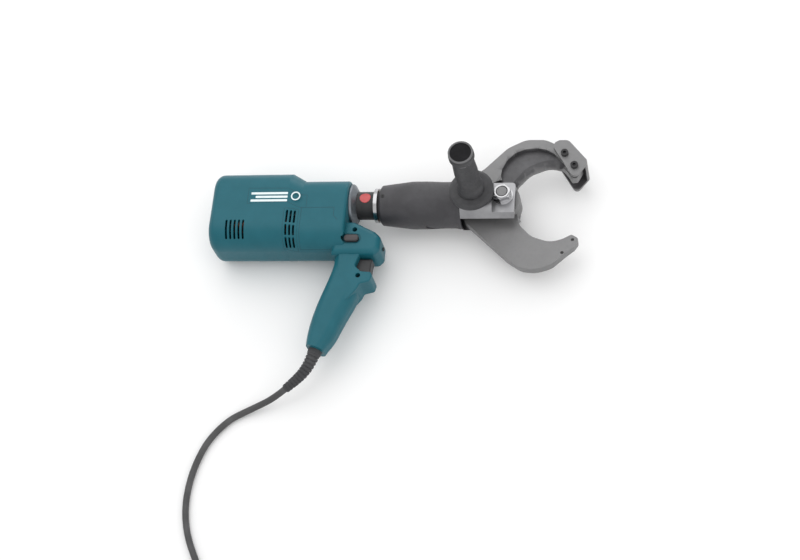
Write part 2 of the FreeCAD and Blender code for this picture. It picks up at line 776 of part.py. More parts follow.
def ram():
    """Piston and rod in one, forked at the front for the roller."""
    front = PIVOT_X - ROLLER_OPEN
    body = joined([rod_x(66.6, 74, 20.0), rod_x(73, front - 10, RAM_RADIUS)])
    groove = ring_x(69, 72, 22.0, 17.6)
    fork = []
    for low, high in ((-12.0, -8.9), (9.6, 12.0)):
        tongue = joined([rod_z(low, high, 5.0, front, 0),
                         block(front - 12, front, -5, 5, low, high)])
        fork.append(tongue.common(rod_x(0, 200, RAM_RADIUS)))
    slotted = joined([body] + fork)
    return slotted.cut(groove).cut(rod_z(-14, 14, 3.0, front, 0))


def ram_seal():
    return ring_x(69.1, 71.9, 19.95, 17.6)


def ram_roller():
    front = PIVOT_X - ROLLER_OPEN
    return ring_z(-8.6, 9.3, ROLLER_RADIUS, 3.05, front, 0)


def roller_pin():
    front = PIVOT_X - ROLLER_OPEN
    return rod_z(-11.0, 11.0, 3.0, front, 0)


CHEEK = [
    (100, -32, 0), (PIVOT_X + 14.5, -32, 5), (PIVOT_X + 14.5, 18.4, 4), (100, 18.4, 0),
]
FLAT_START = 164.0                    # where the milled flat under the pivot nut begins


def yoke():
    """Forged fork: round root in the sleeve, boss for the side handle and two cheeks."""
    root = rod_x(112.05, SLEEVE_FRONT + 3, SLEEVE_BORE - 0.1)
    turned = rod_x(SLEEVE_FRONT + 0.01, PIVOT_X + 20, YOKE_RADIUS)
    cheeks = slab(CHEEK, REAR_CHEEK_Z[0], 40).common(turned)
    flat = slab([(FLAT_START, -50, 0), (300, -50, 0), (300, 50, 0), (FLAT_START, 50, 0)],
                FRONT_CHEEK_Z[1], 60)
    boss = rod_z(14, BOSS_TOP, 15.5, HANDLE_X, 0)
    body = joined([root, cheeks.cut(flat), boss])
    slot = block(PIVOT_X - 62, 300, -60, 60, LOWER_JAW_Z[0] - GAP, FRONT_CHEEK_Z[0])
    cuts = [rod_x(100, 121, RAM_RADIUS + RUN), rod_z(-60, 60, PIVOT_RADIUS, PIVOT_X, 0),
            rod_z(24, 60, 5.0, HANDLE_X, 0), rod_z(-60, -14, 5.1, HANDLE_X, 0)]
    return body.cut(slot).cut(cuts[0]).cut(cuts[1]).cut(group(cuts[2:]))


def pivot_bolt():
    x = PIVOT_X
    head = hexagon_z(31.25, -FLOOR_Z, 27, x, 0, 15)
    head.rotate(V(x, 0, 0), X_AXIS, 180)
    shank = rod_z(-37, 23, PIVOT_RADIUS - RUN, x, 0)
    thread = rod_z(23, 34.9, 6.0, x, 0)
    return joined([head, shank, thread])


def pivot_washers():
    return group([ring_z(-31.2, -28.05, 16.0, 9.2, PIVOT_X, 0),
                  ring_z(22.05, 23.5, 12.4, 9.2, PIVOT_X, 0)])


def pivot_nut():
    """Tall hexagon nut with a round, dished crown."""
    low = 23.55
    nut = hexagon_z(low, 33.6, 19, PIVOT_X, 0, 20)
    nut = joined([nut, rod_z(33.0, 35.5, 9.0, PIVOT_X, 0)])
    dish = Part.makeCone(6.0, 7.4, 1.5, V(PIVOT_X, 0, 34.01), Z_AXIS)
    return nut.cut(rod_z(20, 50, 6.1, PIVOT_X, 0)).cut(dish)


# ---------------------------------------------------------------- jaws
def cam_points(side):
    """Heel cam face relative to the pivot: offset of the roller's path in the turning jaw."""
    lead = RAM_STROKE / JAW_TURN
    points = []
    for step in range(-1, 7):
        turn = JAW_TURN * step / 6
        radius = ROLLER_OPEN - lead * turn
        x = -radius * math.cos(turn)
        y = radius * math.sin(turn)
        dx = lead * math.cos(turn) + radius * math.sin(turn)
        dy = radius * math.cos(turn) - lead * math.sin(turn)
        length = math.hypot(dx, dy)
        away = ROLLER_RADIUS + 0.08
        points.append(V(PIVOT_X + x + away * dy / length, side * (y - away * dx / length), 0))
    return points


def jaw_plate(side, outline, low, high):
    """Jaw plate: rounded outline with the cam face cut into its heel."""
    corners = [(PIVOT_X + x, y, radius) for x, y, radius in outline]
    plate = slab(corners, low, high)
    plate = plate.fuse(rod_z(low, high, HUB_RADIUS, PIVOT_X, 0))
    cam = cam_points(side)
    curve = Part.BSplineCurve()
    curve.interpolate(cam)
    beside = V(PIVOT_X - 8, cam[-1].y, 0)
    above = V(PIVOT_X - 8, side * 60, 0)
    behind = V(PIVOT_X - 90, side * 60, 0)
    under = V(PIVOT_X - 90, side * -12.0, 0)
    edges = [curve.toShape(), Part.LineSegment(cam[-1], beside).toShape(),
             Part.LineSegment(beside, above).toShape(),
             Part.LineSegment(above, behind).toShape(),
             Part.LineSegment(behind, under).toShape(),
             Part.LineSegment(under, cam[0]).toShape()]
    cutter = Part.Face(Part.Wire(edges))
    cutter.translate(V(0, 0, low - 1))
    cutter = cutter.extrude(V(0, 0, high - low + 2))
    disc = rod_z(low - 1, high + 1, HEEL_RADIUS, PIVOT_X, 0)
    ahead = block(PIVOT_X - 30, PIVOT_X + 140, -120, 120, low - 1, high + 1)
    return plate.cut(cutter.cut(rod_z(low - 2, high + 2, HUB_RADIUS, PIVOT_X, 0))).common(
        disc.fuse(ahead))


UPPER_JAW = [
    (-60, 0, 0), (-56, -14, 0), (-10, -19, 0), (14, 8, 0), (15, 22, 8), (30, 39.5, 30),
    (54, 49, 26), (70, 44.5, 8), (77, 36, 6), (81.5, 28.5, 2), (88, 29, 3), (95, 43, 5),
    (76, 69, 8), (59, 73.5, 8), (48, 79, 20), (24, 79.5, 26), (2, 68, 30), (-25.2, 39.2, 20),
    (-46, 24, 10), (-60, 12, 0),
]
LOWER_JAW = [
    (-60, -1, 0), (-60, -14, 0), (-42, -29.5, 10), (-18.5, -51.5, 20), (6, -74.5, 30),
    (24, -86.5, 26), (42, -88, 30), (60, -82, 24), (78.5, -64.5, 20), (90.5, -54.5, 4),
    (91, -46.5, 3), (83, -41.5, 3), (73, -47, 12), (58, -52.3, 30), (34, -44, 24),
    (18.5, -28, 20), (14.6, -10, 0), (-10, 19, 0), (-56, 14, 0),
]


LOWER_HOLES = ((84.4, -48.5), (72.5, -65.9))
UPPER_MOUTH = [
    (17.2, -20, 0), (17.2, 22.5, 8), (30, 39.5, 30), (54, 49, 26), (66, 45.6, 2), (64, -20, 0),
]
# raised rim of the upper jaw: the part of the plate outside this groove line
UPPER_RIM = [
    (-44, 19, 0), (-1, 19, 0), (-4.6, 29.2, 8), (-3.7, 38.6, 10), (1.6, 50.6, 12), (11.1, 60.9, 12),
    (23.8, 66.2, 8), (37.9, 67.6, 10), (49.8, 65.3, 12), (60.1, 59.1, 12),
    (69.9, 49.2, 8),
    (110, 40, 0), (110, 110, 0), (-44, 110, 0),
]
RIM_CLEARANCE = 23.7                  # passes the corner of the front cheek
BEVEL_WIDTH = 6.5
BEVEL_DEPTH = 9.5


def bevel_cutter(outline, top):
    """Tapered plug that grinds the sloping face behind a cutting edge."""
    corners = [(PIVOT_X + x, y, radius) for x, y, radius in outline]
    small = Part.Face(rounded_wire(corners))
    wide = small.makeOffset2D(BEVEL_WIDTH, 2, False, False, True)
    low = small.OuterWire
    low.translate(V(0, 0, top - BEVEL_DEPTH))
    high = wide.OuterWire
    high.translate(V(0, 0, top + 0.01))
    return Part.makeLoft([low, high], True, True)


def upper_jaw():
    low, high = UPPER_HUB_Z
    plate = jaw_plate(-1, UPPER_JAW, low, high)
    corners = [(PIVOT_X + x, y, radius) for x, y, radius in UPPER_JAW]
    keep = slab([(PIVOT_X + x, y, radius) for x, y, radius in UPPER_RIM], high - 1, UPPER_RIM_Z)
    clear = rod_z(high - 2, UPPER_RIM_Z + 1, RIM_CLEARANCE, PIVOT_X, 0)
    body = joined([plate, slab(corners, high - 1, UPPER_RIM_Z).common(keep).cut(clear)])
    body = body.cut(bevel_cutter(UPPER_MOUTH, high).cut(rod_z(low, high + 1, 22.5, PIVOT_X, 0)))
    body = body.cut(rod_z(low - 1, high + 9, PIVOT_RADIUS + RUN, PIVOT_X, 0))
    body = body.cut(screw_bores(low - 1, UPPER_RIM_Z + 1, 2.0))
    return body


def lower_jaw():
    low, high = LOWER_JAW_Z
    body = jaw_plate(1, LOWER_JAW, low, high)
    body = body.common(rod_z(low, high, 104.0, PIVOT_X, 0))
    body = body.cut(rod_z(low - 1, high + 1, PIVOT_RADIUS + RUN, PIVOT_X, 0))
    return body.cut(group([rod_z(-13, 1, 2.05, PIVOT_X + x, y) for x, y in LOWER_HOLES]))


GUIDE_SCREWS = ((72.9, 56.7), (85.3, 39.6))
GUIDE = [
    (58, 67, 5), (60.5, 72.6, 3), (65.7, 75.6, 6), (76.8, 75.5, 8), (100.3, 47.2, 5),
    (100.5, 42.8, 4), (87.6, 25.4, 5), (82.1, 27.6, 5),
]


def screw_bores(low, high, radius):
    return group([rod_z(low, high, radius, PIVOT_X + x, y) for x, y in GUIDE_SCREWS])


def blade_guide():
    """Bent bracket that leads the lower tip behind the upper blade."""
    corners = [(PIVOT_X + x, y, radius) for x, y, radius in GUIDE]
    full = slab(corners, -17, 25)
    low = LOWER_JAW_Z[0] - 1.0
    hollow = rod_z(low, UPPER_RIM_Z + 0.05, 105.8, PIVOT_X, 0)
    bracket = full.cut(hollow)
    return bracket.cut(screw_bores(15, 26, 2.05))


def guide_screws():
    solids = []
    for x, y in GUIDE_SCREWS:
        head = rod_z(25.05, 28.5, 4.6, PIVOT_X + x, y)
        socket = hexagon_z(26.5, 30, 4, PIVOT_X + x, y)
        solids.append(head.cut(socket).fuse(rod_z(6, 25.1, 1.98, PIVOT_X + x, y)))
    return group(solids)


# ---------------------------------------------------------------- side handle
def handle_flange():
    return turned_z([(5.2, 36.05, 0), (27.3, 36.05, 1), (27.3, 40, 1.5), (24, 42.5, 2),
                     (17, 43, 0), (5.2, 43, 0)], HANDLE_X, 0)


def handle_stud():
    return joined([rod_z(24.2, 116, 4.9, HANDLE_X, 0), hexagon_z(108, 115, 14, HANDLE_X, 0)])


def handle_grip():
    """Ribbed grip with a waist under its end cap."""
    profile = [(5.0, 43.1, 0), (16.4, 43.1, 1.5), (16.4, 50, 2), (14.0, 57, 8), (14.4, 84, 60),
               (13.6, 104, 8), (12.6, 112, 2), (12.6, 117, 0), (9.2, 117, 0), (9.2, 107, 0),
               (5.0, 107, 0)]
    return turned_z(profile, HANDLE_X, 0)


def handle_ring():
    return turned_z([(9.2, 117.1, 0), (14.2, 117.1, 0.5), (14.2, 119.0, 0.5), (9.2, 119.0, 0)],
                    HANDLE_X, 0)


def handle_cap():
    return turned_z([(0, 119.1, 0), (15.4, 119.1, 1), (15.4, 125, 2.6), (12.0, HANDLE_END, 1.2),
                     (11.6, HANDLE_END - 0.8, 0.3), (0, HANDLE_END - 0.6, 0)], HANDLE_X, 0)


def plug_body():
    """Two-pin moulded plug lying beside the coil."""
    low = FLOOR_Z + 0.2
    outline = [(-12, -17, 5), (12, -17, 7), (15, 17, 5), (-15, 17, 5)]
    body = slab(outline, low, low + 22)
    body.translate(V(PLUG_PLACE[0], PLUG_PLACE[1], 0))
    edges = []
    for edge in body.Edges:
        box = edge.BoundBox
        if box.ZLength < 1e-4:
            edges.append(edge)
    return body.makeFillet(3.0, edges)


def plug_pins():
    x, y = PLUG_PLACE
    z = FLOOR_Z + 11.2
    return group([rod_y(y + 17.02, y + 36, 2.4, x + side * 9.5, z) for side in (-1, 1)])


NODES = {}


def build():
    upper, lower = housing_shells()
    NODES.update({
        "housing_upper_shell": upper, "housing_lower_shell": lower,
        "housing_screws": housing_screws(), "gear_case": gear_case(),
        "bearing_plate": bearing_plate(), "neck_tube": neck_tube(),
        "neck_snap_ring": snap_ring(), "neck_badge": neck_badge(),
        "stator_core": stator_core(), "field_coils": field_coils(),
        "armature_core": armature_core(), "armature_winding": armature_winding(),
        "armature_shaft": armature_shaft(), "commutator": commutator(), "cooling_fan": fan(),
        "carbon_brushes": carbon_brushes(), "brush_holders": brush_holders(),
        "brush_springs": brush_springs(),
        "armature_rear_bearing": bearing_x(-176, -169.05, 11.0, 4.0, MOTOR_Y),
        "armature_front_bearing": bearing_x(-70, -62, 13.0, 5.0, MOTOR_Y),
        "gear_shaft_rear_bearing": bearing_x(-69.4, -64.4, 8.0, 4.0, 0.0),
        "gear_shaft_front_bearing": bearing_x(-42, -35, 14.0, 6.0, 0.0),
        "drive_gear": drive_gear(), "drive_shaft": drive_shaft(),
        "trigger": trigger(), "switch_body": switch_body(),
        "oil_screw": oil_screw(), "cord_tie": cord_tie(), "trigger_spring": trigger_spring(),
        "changeover_button": changeover_button(), "strain_relief": strain_relief(),
        "power_cord": swept_round(CORD_ROUTE, CORD_RADIUS),
        "plug_lead": swept_round(LEAD_ROUTE, CORD_RADIUS),
        "cord_coil": cord_coil(), "plug_body": plug_body(), "plug_pins": plug_pins(),
        "head_sleeve": head_sleeve(), "swivel_bush": swivel_bush(),
        "pump_block": pump_block(), "pump_plunger": pump_plunger(),
        "plunger_plug": plunger_plug(), "head_bearing": head_bearing(),
        "cylinder_body": cylinder_body(), "ram": ram(), "ram_seal": ram_seal(),
        "ram_roller": ram_roller(), "roller_pin": roller_pin(), "yoke": yoke(),
        "pivot_bolt": pivot_bolt(), "pivot_washers": pivot_washers(), "pivot_nut": pivot_nut(),
        "upper_jaw": upper_jaw(), "lower_jaw": lower_jaw(), "blade_guide": blade_guide(),
        "guide_screws": guide_screws(), "handle_flange": handle_flange(),
        "handle_stud": handle_stud(), "handle_grip": handle_grip(),
        "handle_ring": handle_ring(), "handle_cap": handle_cap(),
    })


def write():
    os.makedirs("parts", exist_ok=True)
    for name, shape in NODES.items():
        solid = place(shape)
        if not solid.isValid() or not solid.Solids:
            raise ValueError(name + " is not a valid solid")
        solid.exportStep("parts/" + name + ".step")
    print(len(NODES), "nodes")


build()
write()
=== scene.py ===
import json
import math

import bmesh
import bpy
from mathutils import Matrix, Vector


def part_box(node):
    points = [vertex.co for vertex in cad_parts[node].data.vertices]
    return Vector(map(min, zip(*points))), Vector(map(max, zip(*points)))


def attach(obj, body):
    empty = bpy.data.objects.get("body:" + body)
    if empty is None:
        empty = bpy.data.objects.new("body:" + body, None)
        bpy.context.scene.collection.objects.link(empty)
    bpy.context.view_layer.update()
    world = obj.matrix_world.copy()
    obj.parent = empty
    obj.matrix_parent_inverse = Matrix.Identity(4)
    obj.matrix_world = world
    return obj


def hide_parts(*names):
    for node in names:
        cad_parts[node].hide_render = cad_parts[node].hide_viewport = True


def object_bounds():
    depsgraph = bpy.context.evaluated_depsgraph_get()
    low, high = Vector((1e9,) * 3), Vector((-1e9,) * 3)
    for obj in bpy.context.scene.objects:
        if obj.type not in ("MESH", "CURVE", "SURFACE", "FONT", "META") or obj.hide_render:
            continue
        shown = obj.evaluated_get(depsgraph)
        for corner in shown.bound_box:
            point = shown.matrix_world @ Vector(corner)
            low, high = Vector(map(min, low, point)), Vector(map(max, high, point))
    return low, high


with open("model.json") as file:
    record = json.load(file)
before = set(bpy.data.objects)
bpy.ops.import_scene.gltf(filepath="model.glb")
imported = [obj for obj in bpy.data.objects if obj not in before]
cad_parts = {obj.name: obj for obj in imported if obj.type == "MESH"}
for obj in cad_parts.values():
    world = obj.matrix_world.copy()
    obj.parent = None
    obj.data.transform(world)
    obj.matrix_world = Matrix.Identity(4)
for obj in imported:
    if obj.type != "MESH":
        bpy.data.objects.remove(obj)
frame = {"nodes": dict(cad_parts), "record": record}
CAD_LOW, CAD_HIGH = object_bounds()
MM = 0.001


def span(node):
    """Lowest and highest corner of a CAD node at rest."""
    low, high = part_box(node)
    return Vector(low), Vector(high)


NECK_LOW, NECK_HIGH = span("neck_tube")
NECK = (NECK_LOW + NECK_HIGH) / 2
NECK_BACK = 32.9 * MM                 # the neck tube's back end is this far behind the tool's zero
ZERO = Vector((NECK_LOW.x + NECK_BACK, NECK.y, NECK.z))


def tool(x, y, z=0.0):
    """A point given in millimetres from the tool's zero on the neck axis, in the frame's metres."""
    return ZERO + Vector((x, y, z)) * MM


# ---------------------------------------------------------------- materials
class Surface:
    """A procedural material built from a few layers of noise."""

    def __init__(self, name, colour, roughness, metallic=0.0, specular=0.5):
        self.material = bpy.data.materials.new(name)
        self.material.use_nodes = True
        self.tree = self.material.node_tree
        self.shader = self.tree.nodes["Principled BSDF"]
        self.shader.inputs["Metallic"].default_value = metallic
        self.shader.inputs["Specular IOR Level"].default_value = specular
        self.place = self.tree.nodes.new("ShaderNodeTexCoord").outputs["Object"]
        self.colour = self.rgb(colour)
        self.roughness = self.value(roughness)
        self.height = None

    def rgb(self, colour):
        node = self.tree.nodes.new("ShaderNodeRGB")
        node.outputs[0].default_value = (*colour, 1)
        return node.outputs[0]

    def value(self, number):
        node = self.tree.nodes.new("ShaderNodeValue")
        node.outputs[0].default_value = number
        return node.outputs[0]

    def noise(self, scale, detail=4.0, stretch=(1, 1, 1), rough=0.55):
        mapping = self.tree.nodes.new("ShaderNodeMapping")
        mapping.inputs["Scale"].default_value = stretch
        self.tree.links.new(self.place, mapping.inputs["Vector"])
        node = self.tree.nodes.new("ShaderNodeTexNoise")
        node.inputs["Scale"].default_value = scale
        node.inputs["Detail"].default_value = detail
        node.inputs["Roughness"].default_value = rough
        self.tree.links.new(mapping.outputs[0], node.inputs["Vector"])
        return node.outputs["Fac"]

    def cells(self, scale, stretch=(1, 1, 1)):
        mapping = self.tree.nodes.new("ShaderNodeMapping")
        mapping.inputs["Scale"].default_value = stretch
        self.tree.links.new(self.place, mapping.inputs["Vector"])
        node = self.tree.nodes.new("ShaderNodeTexVoronoi")
        node.inputs["Scale"].default_value = scale
        self.tree.links.new(mapping.outputs[0], node.inputs["Vector"])
        return node.outputs["Distance"]

    def spread(self, source, low, high, to_low=0.0, to_high=1.0):
        node = self.tree.nodes.new("ShaderNodeMapRange")
        node.inputs["From Min"].default_value = low
        node.inputs["From Max"].default_value = high
        node.inputs["To Min"].default_value = to_low
        node.inputs["To Max"].default_value = to_high
        self.tree.links.new(source, node.inputs["Value"])
        return node.outputs["Result"]

    def mix(self, mask, other):
        node = self.tree.nodes.new("ShaderNodeMix")
        node.data_type = "RGBA"
        self.tree.links.new(mask, node.inputs["Factor"])
        self.tree.links.new(self.colour, node.inputs["A"])
        self.tree.links.new(self.rgb(other), node.inputs["B"])
        self.colour = node.outputs["Result"]
        return self

    def blotch(self, other, scale, low=0.45, high=0.7, amount=1.0, stretch=(1, 1, 1)):
        """Colour varies towards another colour in soft patches."""
        return self.mix(self.spread(self.noise(scale, 5.0, stretch), low, high, 0.0, amount), other)

    def gloss(self, low, high, scale, stretch=(1, 1, 1)):
        """Roughness varies between two values."""
        self.roughness = self.spread(self.noise(scale, 5.0, stretch), 0.3, 0.7, low, high)
        return self

    def bump(self, source, strength, distance):
        node = self.tree.nodes.new("ShaderNodeBump")
        node.inputs["Strength"].default_value = strength
        node.inputs["Distance"].default_value = distance
        self.tree.links.new(source, node.inputs["Height"])
        if self.height is not None:
            self.tree.links.new(self.height, node.inputs["Normal"])
        self.height = node.outputs["Normal"]
        return self

    def edge_wear(self, colour, sharp=0.52, soft=0.58, amount=0.5):
        """Lighter colour on convex edges."""
        point = self.tree.nodes.new("ShaderNodeNewGeometry").outputs["Pointiness"]
        return self.mix(self.spread(point, sharp, soft, 0.0, amount), colour)

    def coat(self, weight, roughness):
        self.shader.inputs["Coat Weight"].default_value = weight
        self.shader.inputs["Coat Roughness"].default_value = roughness
        return self

    def done(self):
        links = self.tree.links
        links.new(self.colour, self.shader.inputs["Base Color"])
        links.new(self.roughness, self.shader.inputs["Roughness"])
        if self.height is not None:
            links.new(self.height, self.shader.inputs["Normal"])
        return self.material


def teal_plastic():
    look = Surface("teal_plastic", (0.006, 0.098, 0.128), 0.42, specular=0.28)
    look.blotch((0.009, 0.112, 0.146), 60, 0.4, 0.7, 0.6)
    look.gloss(0.36, 0.46, 300)
    look.bump(look.noise(2600, 3), 0.25, 0.00006)
    look.bump(look.cells(1500), 0.18, 0.00005)
    return look.done()


def black_plastic():
    look = Surface("black_plastic", (0.022, 0.022, 0.024), 0.42)
    look.blotch((0.035, 0.034, 0.036), 90, 0.45, 0.7, 0.7)
    look.gloss(0.38, 0.52, 400)
    look.bump(look.noise(2400, 3), 0.25, 0.00006)
    return look.done()


def dark_rubber():
    look = Surface("dark_rubber", (0.04, 0.04, 0.043), 0.6, specular=0.4)
    look.blotch((0.06, 0.06, 0.063), 70, 0.45, 0.7, 0.8)
    look.gloss(0.52, 0.7, 350)
    look.bump(look.noise(1800, 4), 0.35, 0.0001)
    return look.done()


def cord_sheath():
    look = Surface("cord_sheath", (0.055, 0.055, 0.056), 0.5, specular=0.4)
    look.blotch((0.085, 0.085, 0.086), 50, 0.45, 0.7, 0.7)
    look.gloss(0.42, 0.6, 260)
    look.bump(look.noise(1500, 4), 0.3, 0.00008)
    return look.done()


def sleeve_grain():
    look = Surface("sleeve_grain", (0.03, 0.029, 0.033), 0.44, specular=0.5)
    look.blotch((0.048, 0.047, 0.052), 45, 0.42, 0.7, 0.8)
    look.gloss(0.4, 0.56, 500)
    look.bump(look.cells(1100), 0.3, 0.00012)
    look.bump(look.noise(2500, 3), 0.25, 0.00006)
    return look.done()


def black_paint():
    look = Surface("black_paint", (0.008, 0.008, 0.01), 0.45, specular=0.25)
    look.blotch((0.03, 0.03, 0.032), 80, 0.45, 0.7, 0.5)
    look.gloss(0.4, 0.52, 200)
    look.bump(look.noise(700, 4), 0.2, 0.00006)
    look.edge_wear((0.05, 0.05, 0.05))
    return look.done()


def blackened_steel():
    look = Surface("blackened_steel", (0.085, 0.084, 0.088), 0.4, metallic=0.5, specular=0.45)
    look.blotch((0.11, 0.109, 0.114), 40, 0.4, 0.7, 0.9)
    look.blotch((0.06, 0.06, 0.063), 160, 0.5, 0.75, 0.6)
    look.gloss(0.36, 0.52, 240)
    look.bump(look.noise(900, 5), 0.3, 0.00007)
    look.edge_wear((0.3, 0.3, 0.3))
    return look.done()


def machined_steel():
    look = Surface("machined_steel", (0.33, 0.33, 0.34), 0.34, metallic=1.0)
    look.blotch((0.24, 0.24, 0.25), 60, 0.4, 0.7, 0.8)
    look.gloss(0.28, 0.42, 300, (1, 12, 1))
    look.bump(look.noise(900, 3, (1, 14, 1)), 0.2, 0.00004)
    return look.done()


def bright_plate():
    look = Surface("bright_plate", (0.5, 0.5, 0.51), 0.2, metallic=1.0)
    look.blotch((0.36, 0.36, 0.37), 90, 0.5, 0.75, 0.6)
    look.gloss(0.12, 0.26, 300)
    look.bump(look.noise(600, 3), 0.1, 0.00003)
    return look.done()


def cast_aluminium():
    look = Surface("cast_aluminium", (0.2, 0.22, 0.24), 0.42, metallic=0.9)
    look.blotch((0.14, 0.155, 0.17), 80, 0.4, 0.7, 0.8)
    look.gloss(0.36, 0.5, 300)
    look.bump(look.noise(1200, 4), 0.35, 0.0001)
    return look.done()


def copper_wire():
    look = Surface("copper_wire", (0.45, 0.16, 0.06), 0.35, metallic=0.9)
    look.blotch((0.3, 0.1, 0.04), 200, 0.4, 0.7, 0.8)
    look.bump(look.noise(900, 2, (1, 8, 8)), 0.4, 0.0002)
    return look.done()


def laminations():
    look = Surface("laminations", (0.2, 0.2, 0.21), 0.5, metallic=0.8)
    look.blotch((0.12, 0.12, 0.13), 100, 0.4, 0.7, 0.8)
    look.bump(look.noise(1500, 1, (4, 0.2, 0.2)), 0.5, 0.0002)
    return look.done()


def carbon_block():
    look = Surface("carbon_block", (0.02, 0.02, 0.02), 0.55)
    look.blotch((0.05, 0.05, 0.05), 300, 0.4, 0.7, 0.8)
    return look.done()


def print_white():
    look = Surface("print_white", (0.72, 0.8, 0.82), 0.4)
    look.blotch((0.6, 0.7, 0.72), 200, 0.45, 0.7, 0.6)
    return look.done()


# Painted shade: dark teal that stands for the shade inside the moulding's grooves and panel lines.
def painted_groove_shade():
    look = Surface("painted_groove_shade", (0.004, 0.05, 0.068), 0.6)
    look.blotch((0.008, 0.07, 0.09), 200, 0.4, 0.7, 0.7)
    return look.done()


def button_pad():
    look = Surface("button_pad", (0.04, 0.034, 0.036), 0.5)
    look.blotch((0.06, 0.05, 0.052), 150, 0.4, 0.7, 0.7)
    look.bump(look.noise(2200, 3), 0.25, 0.00006)
    return look.done()


# Painted shade: near-black laid on as thin pieces where recesses and gaps fall into shade.
def painted_shade_black():
    look = Surface("painted_shade_black", (0.012, 0.012, 0.013), 0.85, specular=0.12)
    look.blotch((0.018, 0.018, 0.02), 200, 0.4, 0.7, 0.7)
    return look.done()


def lip_grey():
    look = Surface("lip_grey", (0.1, 0.1, 0.104), 0.35)
    look.blotch((0.075, 0.075, 0.078), 200, 0.4, 0.7, 0.7)
    return look.done()


def red_badge():
    look = Surface("red_badge", (0.42, 0.03, 0.035), 0.25)
    look.blotch((0.5, 0.05, 0.05), 120, 0.4, 0.7, 0.7)
    look.coat(0.5, 0.1)
    return look.done()


def bronze():
    look = Surface("bronze", (0.35, 0.2, 0.07), 0.4, metallic=1.0)
    look.blotch((0.24, 0.14, 0.05), 120, 0.4, 0.7, 0.8)
    return look.done()


def plated_brass():
    look = Surface("plated_brass", (0.55, 0.47, 0.3), 0.28, metallic=1.0)
    look.blotch((0.42, 0.36, 0.24), 120, 0.4, 0.7, 0.8)
    return look.done()


GROOVE_SHADE = painted_groove_shade()
PRINT = print_white()
PAD = button_pad()
PAINTED_SHADE = painted_shade_black()
LIP = lip_grey()
LOOKS = {
    "moulded_teal": teal_plastic(), "black_plastic": black_plastic(),
    "soft_rubber": dark_rubber(), "cord_rubber": cord_sheath(), "cast_sleeve": sleeve_grain(),
    "black_paint": black_paint(), "blackened_steel": blackened_steel(),
    "machined_steel": machined_steel(), "chrome": bright_plate(), "aluminium": cast_aluminium(),
    "copper": copper_wire(), "laminated_steel": laminations(), "carbon": carbon_block(),
    "badge_red": red_badge(), "bronze": bronze(), "brass": plated_brass(),
}


def dress_cad():
    """Every carried-over CAD node gets its slot's procedural material."""
    slots = {row["node"]: row["material_slot"] for row in frame["record"]["subparts"]}
    for name, piece in frame["nodes"].items():
        piece.data.materials.clear()
        piece.data.materials.append(LOOKS[slots[name]])
        smooth_by_angle(piece, 32)


def smooth_by_angle(piece, degrees):
    mesh = piece.data
    for face in mesh.polygons:
        face.use_smooth = True
    limit = math.radians(degrees)
    work = bmesh.new()
    work.from_mesh(mesh)
    sharp = [edge.index for edge in work.edges
             if len(edge.link_faces) != 2 or edge.calc_face_angle(0.0) > limit]
    work.free()
    for index in sharp:
        mesh.edges[index].use_edge_sharp = True


# ---------------------------------------------------------------- cord
# Points are in the tool's millimetres. The coil lies inside the coil solid of the CAD.
CORD_RADIUS = 4.0                     # millimetres, as the CAD cord
FLOOR_Z = -38.0                       # the floor below the tool's zero
CORD_LIFT = 0.2                       # gap between a resting cord and the floor
REST = FLOOR_Z + CORD_RADIUS + CORD_LIFT

GUARD_AXIS = [(-41.0, -192.6, 0), (-44.6, -203.5, -0.8), (-51.5, -218, -4.5),
              (-62.5, -229.2, -10.0), (-78.4, -239.5, -17.0)]
RUN = [
    GUARD_AXIS[-1], (-93.9, -249.6, -23.8), (-114, -257.5, -30.0), (-133, -265.5, REST),
    (-148, -274, REST), (-163.5, -290, REST), (-176, -309, REST), (-187, -343, REST),
    (-190, -383, REST), (-182, -420, REST), (-165, -453, REST), (-149, -484, REST),
    (-141.5, -516, REST), (-139.0, -532, REST + 0.6),
]
LEAD = [(-58, -598.4, -17.0), (-38, -598.2, -24.0), (-14, -596, -32.0), (8, -572, -31.0),
        (8, -534.0, -26.8)]
COIL_X = -86.0
COIL_Y = -546.0
COIL_OUT = 52.4                       # radius of the outermost turn's centre
COIL_IN = 35.6                        # radius of the innermost turn's centre
COIL_START = 180.0                    # angle at which the cord joins the coil
LAYER = 8.2                           # rise from one layer of turns to the next
TIE_ROOM = 1.4                        # room for the tie under the coil
COIL_LIFT = 4.1                       # centre of the lowest layer above that room
COIL_LOW = FLOOR_Z + TIE_ROOM + COIL_LIFT
TURN_POINTS = 30                      # control points for each turn


def coil_points():
    """Two flat spirals on top of each other and a last open turn."""
    legs = [(720, COIL_OUT, COIL_IN, 0, 0), (90, COIL_IN, COIL_IN, 0, 1),
            (720, COIL_IN, COIL_OUT, 1, 1), (90, COIL_OUT, COIL_OUT, 1, 2),
            (270, COIL_OUT, COIL_OUT, 2, 2)]
    points = []
    start = COIL_START
    for sweep, radius_a, radius_b, layer_a, layer_b in legs:
        count = round(sweep / 360 * TURN_POINTS)
        for index in range(count):
            share = index / count
            angle = math.radians(start + sweep * share)
            radius = radius_a + (radius_b - radius_a) * share
            height = COIL_LOW + LAYER * (layer_a + (layer_b - layer_a) * share)
            points.append((COIL_X + radius * math.cos(angle), COIL_Y + radius * math.sin(angle),
                           height))
        start += sweep
    return points


def arc_length(points):
    return sum((Vector(a) - Vector(b)).length for a, b in zip(points, points[1:]))


def smooth_line(points, steps):
    """Points on the quadratic spline through the middles of a control polygon's legs."""
    line = [Vector(points[0])]
    for index in range(1, len(points) - 1):
        here = Vector(points[index])
        back = Vector(points[index - 1])
        ahead = Vector(points[index + 1])
        start = back if index == 1 else (back + here) / 2
        end = ahead if index == len(points) - 2 else (here + ahead) / 2
        for step in range(1, steps + 1):
            t = step / steps
            line.append(start * (1 - t) ** 2 + here * 2 * t * (1 - t) + end * t ** 2)
    return line


